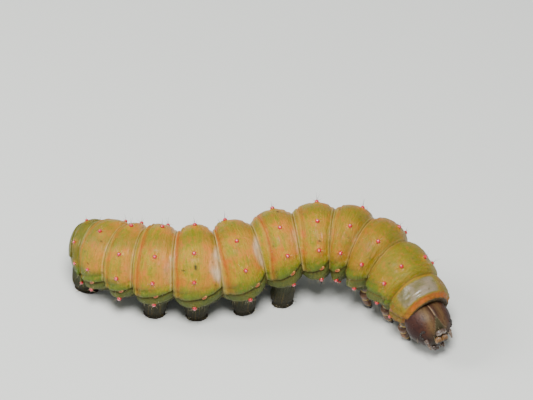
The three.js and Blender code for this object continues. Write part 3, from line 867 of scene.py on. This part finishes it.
def capsule_place(x, y, z):
    """A point of the head shell for a point of the unit ball: x to the right, y to the mouth, z out of the face."""
    lobe = 1 + 0.15 * bell(abs(x), 0.5, 0.35) * max(0, -y)
    narrowing = 1 - 0.14 * max(0, y) ** 2
    crown = 0.35 * bell(x, 0, 0.16) * y * y if y < 0 else 0
    face_flat = 1 - 0.12 * max(0, y) if z > 0 else 1
    groove = 0
    if z > 0:
        groove = 0.1 * bell(x, 0, 0.03) if y < 0 else 0
        groove += 0.07 * bell(abs(x), fork_at(y), 0.022) if y > FORK_FROM else 0
        groove += 0.1 * bell(x, 0, 0.1) * max(0, -y)
        groove += 0.16 * bell(x, 0, 0.3 * max(0.05, y)) * max(0, y)
    wide = HEAD_HALF_WIDTH * lobe * narrowing
    long = HEAD_HALF_LENGTH * lobe
    deep = HEAD_HALF_DEPTH * face_flat - groove
    return head_point(x * wide, y * long + crown, z * deep)


head_mesh = bmesh.new()
bmesh.ops.create_uvsphere(head_mesh, u_segments=128, v_segments=84, radius=1)
bmesh.ops.rotate(head_mesh, verts=head_mesh.verts, matrix=Matrix.Rotation(math.radians(-90), 3, "X"))
HEAD_LOOKS = ("seam", "face", "low", "turn", "tan", "cheek")
head_layers = {name: head_mesh.verts.layers.float.new(name) for name in HEAD_LOOKS}
for vert in head_mesh.verts:
    x, y, z = vert.co
    line = bell(abs(x), fork_at(y), 0.018) if z > 0 else 0
    looks = {
        "seam": line * (1 if y < FORK_FROM else 0.3) * (1 if y < 0.6 else 0),
        "face": 1 if z > 0 and abs(x) < fork_at(y) else 0,
        "low": y,
        "turn": math.atan2(abs(x), z),
        "tan": bell(abs(x), 0.32, 0.18) * (0 if z <= 0 else 1 if x > 0 else 0.75),
        "cheek": max(0, abs(x) - 0.55) / 0.45,
    }
    for name, layer in head_layers.items():
        vert[layer] = looks[name]
    vert.co = capsule_place(x, y, z)
bmesh.ops.recalc_face_normals(head_mesh, faces=head_mesh.faces)
head_material, head_shader, where = new_material("head_shell", {"Coat Roughness": 0.35, "Specular IOR Level": 0.2})
mottle = noise(where, 520, 5, 0.6)
low = attribute(where, "low")
ray = noise(place_of(attribute(where, "turn") * 9, low * 2.2), 1.0, 4, 0.65, 0.3)
pit = cells(where, 2100.0)
shell = layered(
    mottle.ramp(0.35, 0.68).tint((46, 22, 17), (74, 42, 29)),
    (attribute(where, "tan") * (0.35 + ray * 0.7), (108, 84, 50)),
    (ray.ramp(0.5, 0.3) * 0.6, (28, 13, 11)),
    (attribute(where, "cheek") * 0.7, (38, 17, 18)),
    (noise(where, 1500, 3).ramp(0.5, 0.75) * 0.4, (42, 22, 16)),
    (pit.ramp(0.3, 0.12) * mottle.ramp(0.4, 0.6) * 0.55, (26, 14, 10)),
    (attribute(where, "face") * 0.8, mottle.tint((38, 40, 22), (72, 70, 44))),
    (low.ramp(0.25, 0.8) * 0.8, (30, 17, 12)),
    (attribute(where, "seam") * (0.4 + mottle * 0.6), (164, 138, 104)),
)
feed(
    head_shader,
    Base_Color=shell,
    Roughness=0.42 + mottle * 0.2,
    Coat_Weight=0.02 + mottle * 0.06,
    Normal=bump(mottle * 0.5 + ray * 0.7 + pit.ramp(0.0, 0.5) * 0.5, 0.00007, 0.8),
)
finished("head_shell", head_mesh, head_material, "head_shell", "head")

# The small eyes: six dark satin beads in an arc low on each cheek.
# Each is a ball half sunk in the head's shell.
EYES_A_SIDE = 6
EYE_RADIUS = 0.2
eye_mesh = bmesh.new()
for side_sign in (1, -1):
    for k in range(EYES_A_SIDE):
        bend = math.radians(-70 + 40 * k)
        x = side_sign * (0.72 + 0.09 * math.cos(bend))
        y = 0.42 - 0.12 * math.sin(bend)
        ball = Vector((x, y, math.sqrt(max(0.05, 1 - x * x - y * y)))).normalized()
        seat = capsule_place(*ball)
        bead = bmesh.ops.create_icosphere(eye_mesh, subdivisions=3, radius=EYE_RADIUS * MM)["verts"]
        bmesh.ops.translate(eye_mesh, verts=bead, vec=seat)
eye_material, eye_shader, where = new_material(
    "eye_bead", {"Coat Weight": 0.1, "Coat Roughness": 0.2, "Specular IOR Level": 0.35}
)
feed(
    eye_shader,
    Base_Color=noise(where, 3000).tint((16, 11, 9), (44, 30, 22)),
    Roughness=0.3 + noise(where, 2000) * 0.15,
)
finished("eyes", eye_mesh, eye_material, "dark_shell")


# The mouthparts: a notched upper lip, two broad ridged jaws, a lower lip with its palps and silk tube,
# and two jointed feelers. They are hard and brown, straw-coloured on the jaws and pale at lip and joints.
def mouth_block(maker, centre, size, square=0.75, segments=28):
    """A ball of the given half-sizes, squarer the lower square is."""
    block = bmesh.ops.create_uvsphere(maker, u_segments=segments, v_segments=segments * 2 // 3, radius=1)["verts"]
    for vert in block:
        soft = [math.copysign(abs(c) ** square, c) * s for c, s in zip(vert.co, size)]
        vert.co = Vector(centre) + Vector(soft)
    return block


def place_in_head(maker):
    for vert in maker.verts:
        vert.co = head_point(*vert.co)
    bmesh.ops.recalc_face_normals(maker, faces=maker.faces)


LIP_CENTRE, LIP_SIZE = (0, 2.2, 2.26), (0.88, 0.44, 0.42)
lip_mesh, front_layer = blank_mesh("front")
for vert in mouth_block(lip_mesh, LIP_CENTRE, LIP_SIZE, 0.7, 36):
    x, y, z = vert.co
    forward = y - LIP_CENTRE[1]
    vert[front_layer] = forward / LIP_SIZE[1]
    if forward > 0:
        vert.co.y -= 0.68 * bell(x, 0, 0.2) * forward
    vert.co.z += 0.08 * math.cos(x * 1.6) - 0.1 * abs(x)
place_in_head(lip_mesh)
straw_material, straw_shader, where = new_material("straw_shell", {"Coat Weight": 0.2, "Subsurface Weight": 0.1})
straw = noise(where, 900, 4)
straw_tone = layered(
    straw.ramp(0.3, 0.7).tint((58, 42, 34), (96, 78, 66)),
    (attribute(where, "front").ramp(0.2, 0.6), (146, 128, 118)),
    (noise(where, 2600, 2).ramp(0.5, 0.7) * 0.7, (52, 34, 22)),
)
feed(
    straw_shader,
    Base_Color=straw_tone,
    Roughness=0.35 + straw * 0.2,
    Normal=bump(noise(where, 4200, 3), 0.00004, 0.6),
)
finished("upper_lip", lip_mesh, straw_material, "pale_shell", "labrum")

# The lower lip is painted very dark: its own brown deepened into painted shade, as it lies in the hollow under the
# jaws
shaded_lip_material, dark_shader, where = new_material("dark_shell", {"Coat Weight": 0.4, "Coat Roughness": 0.2})
smoke = noise(where, 700, 4)
feed(
    dark_shader,
    Base_Color=smoke.ramp(0.35, 0.75).tint((30, 19, 13), (84, 54, 34)),
    Roughness=0.28 + smoke * 0.2,
    Normal=bump(noise(where, 3600, 3), 0.00004, 0.6),
)
jaw_material, jaw_shader, where = new_material("jaw_shell", {"Coat Weight": 0.25, "Coat Roughness": 0.2})
ridge = attribute(where, "ridge")
jaw_tone = (ridge + noise(where, 2200, 3) * 0.6).ramp(0.35, 1.0).tint((24, 15, 9), (134, 98, 58))
jaw_tone = attribute(where, "bite").ramp(0.35, 0.9).tint(jaw_tone, (22, 14, 10))
feed(jaw_shader, Base_Color=jaw_tone, Roughness=0.3 + noise(where, 1800) * 0.2)
JAW_ASIDE, JAW_SIZE, JAW_RIDGING = 0.56, (0.46, 0.5, 0.48), 14
SIDES = (("right", 1), ("left", -1))
for side_name, side_sign in SIDES:
    jaw_mesh, ridge_layer, bite_layer = blank_mesh("ridge", "bite")
    for vert in mouth_block(jaw_mesh, (side_sign * JAW_ASIDE, 3.1, 1.4), JAW_SIZE, 0.6, 40):
        x, y, z = vert.co
        wave = math.cos((x - side_sign * JAW_ASIDE) / JAW_SIZE[0] * JAW_RIDGING)
        edge = max(0, (y - 3.15) / 0.45)
        vert[ridge_layer] = 0.5 + 0.5 * wave
        vert[bite_layer] = edge
        vert.co.z += 0.05 * wave - 0.1 * edge
        vert.co.y += 0.1 * edge * wave
    place_in_head(jaw_mesh)
    finished(f"jaw_{side_name}", jaw_mesh, jaw_material, "dark_shell", f"mandible_{side_name}")

# The lower lip with its palps and silk tube; its dark colour is partly painted shade
under_mesh = bmesh.new()
mouth_block(under_mesh, (0, 3.3, -0.75), (1.0, 0.65, 0.6))
mouth_block(under_mesh, (0, 3.92, -0.8), (0.26, 0.36, 0.26), 1.0, 20)
for side_sign in (1, -1):
    mouth_block(under_mesh, (side_sign * 0.78, 3.75, -0.35), (0.3, 0.34, 0.3), 0.9, 18)
    mouth_block(under_mesh, (side_sign * 0.78, 4.05, -0.3), (0.19, 0.26, 0.19), 0.9, 16)
    mouth_block(under_mesh, (side_sign * 0.4, 3.85, -0.5), (0.11, 0.3, 0.11), 0.9, 14)
place_in_head(under_mesh)
finished("lower_lip", under_mesh, shaded_lip_material, "pale_shell", "labium")

FEELER_REACH = {"right": 1.75, "left": 1.3}
FEELER_STEPS = [0, 0.3, 0.34, 0.36, 0.66, 0.7, 0.72, 0.97, 1]
FEELER_GIRTHS = [0.34, 0.32, 0.22, 0.24, 0.22, 0.14, 0.17, 0.13, 0.05]
for side_name, side_sign in SIDES:
    feeler_mesh, front_layer = blank_mesh("front")
    add_rod(feeler_mesh, 20, 29)
    for vert in feeler_mesh.verts:
        x, y, z = vert.co
        out = z + 0.5
        girth = np.interp(out, FEELER_STEPS, FEELER_GIRTHS)
        vert[front_layer] = 0.5 * bell(out, 0.33, 0.04) + 0.5 * bell(out, 0.7, 0.03)
        long_way = 2.3 + FEELER_REACH[side_name] * out
        vert.co = Vector((side_sign * (2.15 - 0.1 * out) + x * girth, long_way, 0.85 + y * girth))
    place_in_head(feeler_mesh)
    finished(f"feeler_{side_name}", feeler_mesh, straw_material, "pale_shell", f"antenna_{side_name}")

# The legs of the chest: three pairs of short jointed hooks, horny brown with paler joints.
# Each is a rod necked in at its joints, bent in under the body, and set down on its claw.
leg_material, leg_shader, where = new_material("leg_shell", {"Coat Weight": 0.35, "Coat Roughness": 0.2})
joint = attribute(where, "joint")
horn = noise(where, 800, 4)
leg_tone = layered(
    horn.ramp(0.35, 0.7).tint((74, 46, 26), (118, 78, 44)),
    (joint.ramp(0.3, 0.9), (196, 168, 96)),
    (attribute(where, "claw").ramp(0.78, 0.9), (30, 18, 10)),
)
feed(leg_shader, Base_Color=leg_tone, Roughness=0.3 + horn * 0.2, Normal=bump(horn, 0.00004, 0.6))
LEG_JOINTS = (0.3, 0.56, 0.8)
LEG_STEPS = np.linspace(0, 1, 8)
LEG_OUTS = [0, 0.25, 0.6, 0.95, 1.05, 0.9, 0.6, 0.25]
LEG_LEADS = [0, 0.05, 0.1, 0.2, 0.35, 0.55, 0.7, 0.75]
LEG_GIRTHS = [1.0, 1.0, 0.82, 0.9, 0.62, 0.68, 0.46, 0.27]
for order, name in enumerate(["prothorax", "mesothorax", "metathorax"], start=1):
    middle = NAMES.index(name) + 0.5
    centre, ahead, right, back = (row[0] for row in frame_at(middle))
    level_ahead = Vector((ahead[0], ahead[1], 0)).normalized()
    for side_name, side_sign in SIDES:
        level_out = Vector((right[0], right[1], 0)).normalized() * side_sign
        top = Vector(centre) + level_out * 1.7
        top.z -= float(half_width(middle)) * 0.55
        leg_mesh, joint_layer, claw_layer = blank_mesh("joint", "claw")
        add_rod(leg_mesh, 28, 47)
        for vert in leg_mesh.verts:
            x, y, z = vert.co
            down = 0.5 - z
            girth = np.interp(down, LEG_STEPS, LEG_GIRTHS)
            neck = sum(bell(down, place, 0.022) for place in LEG_JOINTS)
            girth *= 1 - 0.16 * neck
            vert[joint_layer] = neck
            vert[claw_layer] = down
            place = top + level_out * np.interp(down, LEG_STEPS, LEG_OUTS)
            place += level_ahead * np.interp(down, LEG_STEPS, LEG_LEADS)
            place.z = top.z * (1 - down)
            place += level_ahead * (x * girth) + level_out * (y * girth)
            vert.co = place * MM
        bmesh.ops.recalc_face_normals(leg_mesh, faces=leg_mesh.faces)
        node = f"leg_{order}_{side_name}"
        finished(f"chest_{node}", leg_mesh, leg_material, "dark_shell", node)

# The hairs of the head: sparse dark bristles over the shell, most of them pale round the mouth.
# They stand out of the shell and lean toward the mouth.
HEAD_HAIRS = 90
head_hair_mesh = hair_maker()
for k in range(HEAD_HAIRS):
    turn, rise = draw.uniform(0, 2 * math.pi), draw.uniform(-0.5, 0.96)
    around = math.sqrt(1 - rise * rise)
    ball = (around * math.cos(turn), rise, around * math.sin(turn))
    root = np.array(capsule_place(*ball)) / MM
    axis = Vector(root - np.array(HEAD_CENTRE)).normalized()
    lean = (axis + to_mouth * draw.uniform(0.1, 0.9)).normalized()
    length = draw.uniform(0.4, 0.9) * (1.5 if rise > 0.55 else 1)
    shade = 0.05 if rise > 0.35 and draw.random() < 0.7 else 0.75
    spot = unwrap_place(13.5, turn - math.pi)
    add_hair(head_hair_mesh, root - np.array(axis) * 0.04, lean, length, 0.014, (0, 0, -0.15), shade, spot)
finished("head_hairs", head_hair_mesh, bristle_material, "pale_shell")

# The foot hooks: fine hooks and bristles round the sole of every stub leg, most of them dark.
# They stand out of the leg's side just over the sole, and none of them goes through the floor.
HOOKS_A_SOLE = 44
hook_mesh = hair_maker()
for stump in STUMPS:
    middle, side_sign = stump[:2]
    for k in range(HOOKS_A_SOLE):
        direction = draw.uniform(-math.pi, math.pi)
        low = draw.uniform(0.3, 0.62)
        spot_mm, down = stump_points(np.array([low]), np.array([direction]), stump)
        inner_mm, down = stump_points(np.array([0.02]), np.array([direction]), stump)
        away_from = Vector(spot_mm[0] - inner_mm[0])
        away_from.z = 0
        lean = (away_from.normalized() + Vector((0, 0, draw.uniform(-0.25, 0.5)))).normalized()
        root = spot_mm[0] + np.array([0, 0, 0.1])
        shade = 0.9 if draw.random() < 0.75 else 0.1
        length = draw.uniform(0.35, 0.95)
        if root[2] + lean.z * length < 0.03:
            continue
        place = unwrap_place(middle, side_sign * 2.6)
        add_hair(hook_mesh, root, lean, length, 0.018, (0, 0, 0.0), shade, place)
finished("foot_hooks", hook_mesh, bristle_material, "dark_shell")
